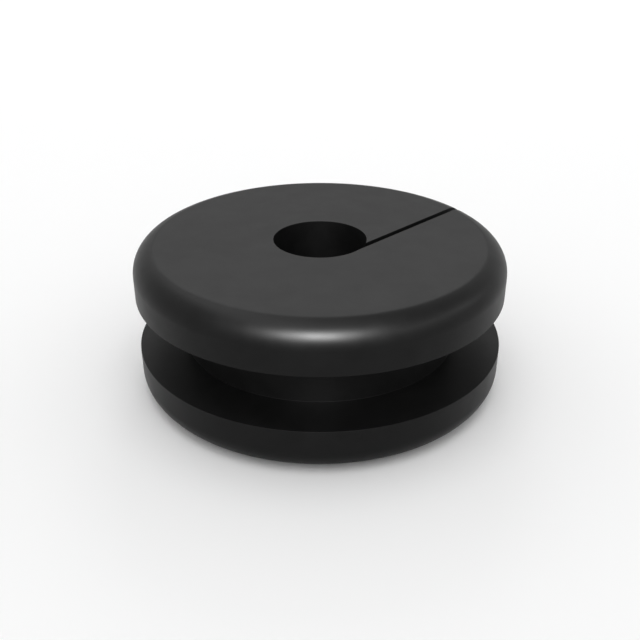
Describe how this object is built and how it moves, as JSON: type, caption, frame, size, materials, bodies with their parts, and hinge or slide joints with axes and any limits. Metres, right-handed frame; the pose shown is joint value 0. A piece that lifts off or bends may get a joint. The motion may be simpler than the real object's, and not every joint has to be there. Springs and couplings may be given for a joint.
{
  "type": "split rubber grommet",
  "caption": "Round moulded rubber grommet with two thick round-edged flanges, a panel groove, a straight cable bore and a slit from the bore out through the rim.",
  "frame": {"origin": "centre of the lower flange's flat face, on the bore's axis", "axes": "+Z along the bore from the lower flange to the upper one; the slit runs out through the rim along the direction half-way between +X and +Y, and its outer wall is tangent to the bore on the side towards +X and -Y"},
  "size_m": [0.04, 0.04, 0.016],
  "materials": {
    "black_rubber": "smooth satin black moulded rubber"
  },
  "bodies": {
    "root": {"grommet": "black_rubber"}
  },
  "joints": []
}
